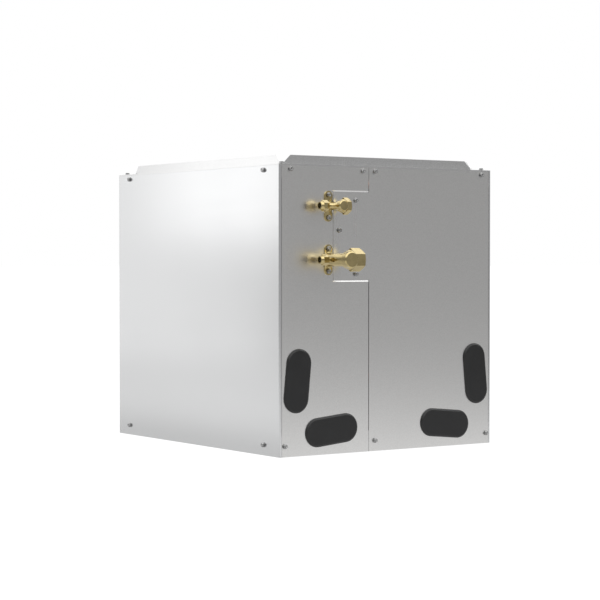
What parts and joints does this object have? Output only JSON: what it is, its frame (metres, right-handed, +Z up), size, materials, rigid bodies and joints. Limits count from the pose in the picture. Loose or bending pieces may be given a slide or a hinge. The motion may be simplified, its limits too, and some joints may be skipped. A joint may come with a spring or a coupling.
{
  "type": "evaporator coil",
  "caption": "Cased evaporator coil: sheet metal cabinet with an A-shaped finned coil, drain pans, duct flanges, brass line valves and drain port plugs.",
  "frame": {"origin": "centre of the cabinet's underside, midway between the base screw holes", "axes": "+Z up towards the duct flanges, -Y out of the front face with the valves and plugs, +X to the right seen from the front"},
  "size_m": [0.4542, 0.6062, 0.4922],
  "materials": {
    "galvanised_sheet": "satin galvanised",
    "coil_sheet": "satin galvanised",
    "screw_steel": "zinc plated",
    "plug_plastic": "matte",
    "liner_face": "matte",
    "fin_aluminium": "satin",
    "copper_tube": "drawn copper",
    "pan_plastic": "matte",
    "valve_brass": "machined",
    "seal_rubber": "matte"
  },
  "bodies": {
    "cabinet": {"base_frame": "galvanised_sheet", "top_frame": "galvanised_sheet", "left_wall": "galvanised_sheet", "right_wall": "galvanised_sheet", "back_panel": "galvanised_sheet", "piping_panel": "galvanised_sheet", "access_panel": "galvanised_sheet", "left_front_tube_sheet": "coil_sheet", "left_rear_tube_sheet": "coil_sheet", "right_front_tube_sheet": "coil_sheet", "right_rear_tube_sheet": "coil_sheet", "apex_cap": "coil_sheet", "front_baffle": "coil_sheet", "rear_baffle": "coil_sheet", "left_pan_rail": "coil_sheet", "right_pan_rail": "coil_sheet", "wall_screws": "screw_steel", "back_panel_screws": "screw_steel", "piping_panel_screws": "screw_steel", "access_panel_screws": "screw_steel", "top_frame_screws": "screw_steel", "valve_flange_screws": "screw_steel", "left_liner": "liner_face", "right_liner": "liner_face", "back_liner": "liner_face", "access_panel_liner": "liner_face", "left_fin_pack": "fin_aluminium", "right_fin_pack": "fin_aluminium", "left_hairpins": "copper_tube", "right_hairpins": "copper_tube", "left_return_bends": "copper_tube", "right_return_bends": "copper_tube", "suction_header": "copper_tube", "suction_line": "copper_tube", "liquid_line": "copper_tube", "feeder_tubes": "copper_tube", "bottom_drain_pan": "pan_plastic", "side_drain_pan": "pan_plastic", "distributor": "valve_brass", "suction_valve_body": "valve_brass", "liquid_valve_body": "valve_brass"},
    "left_side_plug_body": {"left_side_plug": "plug_plastic"},
    "left_bottom_plug_body": {"left_bottom_plug": "plug_plastic"},
    "right_bottom_plug_body": {"right_bottom_plug": "plug_plastic"},
    "right_side_plug_body": {"right_side_plug": "plug_plastic"},
    "suction_line_nut_seal_body": {"suction_line_seal": "seal_rubber"},
    "suction_line_nut_body": {"suction_line_nut": "valve_brass"},
    "liquid_line_nut_seal_body": {"liquid_line_seal": "seal_rubber"},
    "liquid_line_nut_body": {"liquid_line_nut": "valve_brass"},
    "suction_port_nut_seal_body": {"suction_port_seal": "seal_rubber"},
    "suction_port_nut_body": {"suction_port_nut": "valve_brass"},
    "liquid_port_nut_seal_body": {"liquid_port_seal": "seal_rubber"},
    "liquid_port_nut_body": {"liquid_port_nut": "valve_brass"},
    "suction_stem_cap_seal_body": {"suction_stem_cap_seal": "seal_rubber"},
    "suction_stem_cap_body": {"suction_stem_cap": "valve_brass"},
    "liquid_stem_cap_seal_body": {"liquid_stem_cap_seal": "seal_rubber"},
    "liquid_stem_cap_body": {"liquid_stem_cap": "valve_brass"}
  },
  "joints": [
    {"name": "left_side_plug_pull", "type": "slide", "parent": "cabinet", "child": "left_side_plug_body", "axis": [0, -1, 0], "range_m": [0, 0.06]},
    {"name": "left_bottom_plug_pull", "type": "slide", "parent": "cabinet", "child": "left_bottom_plug_body", "axis": [0, -1, 0], "range_m": [0, 0.06]},
    {"name": "right_bottom_plug_pull", "type": "slide", "parent": "cabinet", "child": "right_bottom_plug_body", "axis": [0, -1, 0], "range_m": [0, 0.06]},
    {"name": "right_side_plug_pull", "type": "slide", "parent": "cabinet", "child": "right_side_plug_body", "axis": [0, -1, 0], "range_m": [0, 0.06]},
    {"name": "suction_line_nut_turn", "type": "hinge", "parent": "cabinet", "child": "suction_line_nut_seal_body", "pos_m": [-0.089, -0.3047, 0.3204], "axis": [1, 0, 0], "range_deg": [0, 2160]},
    {"name": "suction_line_nut_travel", "type": "slide", "parent": "suction_line_nut_seal_body", "child": "suction_line_nut_body", "axis": [1, 0, 0], "range_m": [0, 0.00901]},
    {"name": "liquid_line_nut_turn", "type": "hinge", "parent": "cabinet", "child": "liquid_line_nut_seal_body", "pos_m": [-0.1003, -0.2867, 0.4084], "axis": [1, 0, 0], "range_deg": [0, 2160]},
    {"name": "liquid_line_nut_travel", "type": "slide", "parent": "liquid_line_nut_seal_body", "child": "liquid_line_nut_body", "axis": [1, 0, 0], "range_m": [0, 0.00901]},
    {"name": "suction_port_nut_turn", "type": "hinge", "parent": "cabinet", "child": "suction_port_nut_seal_body", "pos_m": [-0.1572, -0.2867, 0.3204], "axis": [-1, 0, 0], "range_deg": [0, 2160]},
    {"name": "suction_port_nut_travel", "type": "slide", "parent": "suction_port_nut_seal_body", "child": "suction_port_nut_body", "axis": [-1, 0, 0], "range_m": [0, 0.00901]},
    {"name": "liquid_port_nut_turn", "type": "hinge", "parent": "cabinet", "child": "liquid_port_nut_seal_body", "pos_m": [-0.1572, -0.2867, 0.4084], "axis": [-1, 0, 0], "range_deg": [0, 2160]},
    {"name": "liquid_port_nut_travel", "type": "slide", "parent": "liquid_port_nut_seal_body", "child": "liquid_port_nut_body", "axis": [-1, 0, 0], "range_m": [0, 0.00901]},
    {"name": "suction_stem_cap_turn", "type": "hinge", "parent": "cabinet", "child": "suction_stem_cap_seal_body", "pos_m": [-0.1262, -0.3347, 0.3204], "axis": [0, -1, 0], "range_deg": [0, 2160]},
    {"name": "suction_stem_cap_travel", "type": "slide", "parent": "suction_stem_cap_seal_body", "child": "suction_stem_cap_body", "axis": [0, -1, 0], "range_m": [0, 0.00901]},
    {"name": "liquid_stem_cap_turn", "type": "hinge", "parent": "cabinet", "child": "liquid_stem_cap_seal_body", "pos_m": [-0.1262, -0.3127, 0.4084], "axis": [0, -1, 0], "range_deg": [0, 2160]},
    {"name": "liquid_stem_cap_travel", "type": "slide", "parent": "liquid_stem_cap_seal_body", "child": "liquid_stem_cap_body", "axis": [0, -1, 0], "range_m": [0, 0.00901]}
  ],
  "couplings": [
    {"joint": "suction_line_nut_travel", "follows": "suction_line_nut_turn", "m_per_rad": 0.00023873},
    {"joint": "liquid_line_nut_travel", "follows": "liquid_line_nut_turn", "m_per_rad": 0.00023873},
    {"joint": "suction_port_nut_travel", "follows": "suction_port_nut_turn", "m_per_rad": 0.00023873},
    {"joint": "liquid_port_nut_travel", "follows": "liquid_port_nut_turn", "m_per_rad": 0.00023873},
    {"joint": "suction_stem_cap_travel", "follows": "suction_stem_cap_turn", "m_per_rad": 0.00023873},
    {"joint": "liquid_stem_cap_travel", "follows": "liquid_stem_cap_turn", "m_per_rad": 0.00023873}
  ]
}
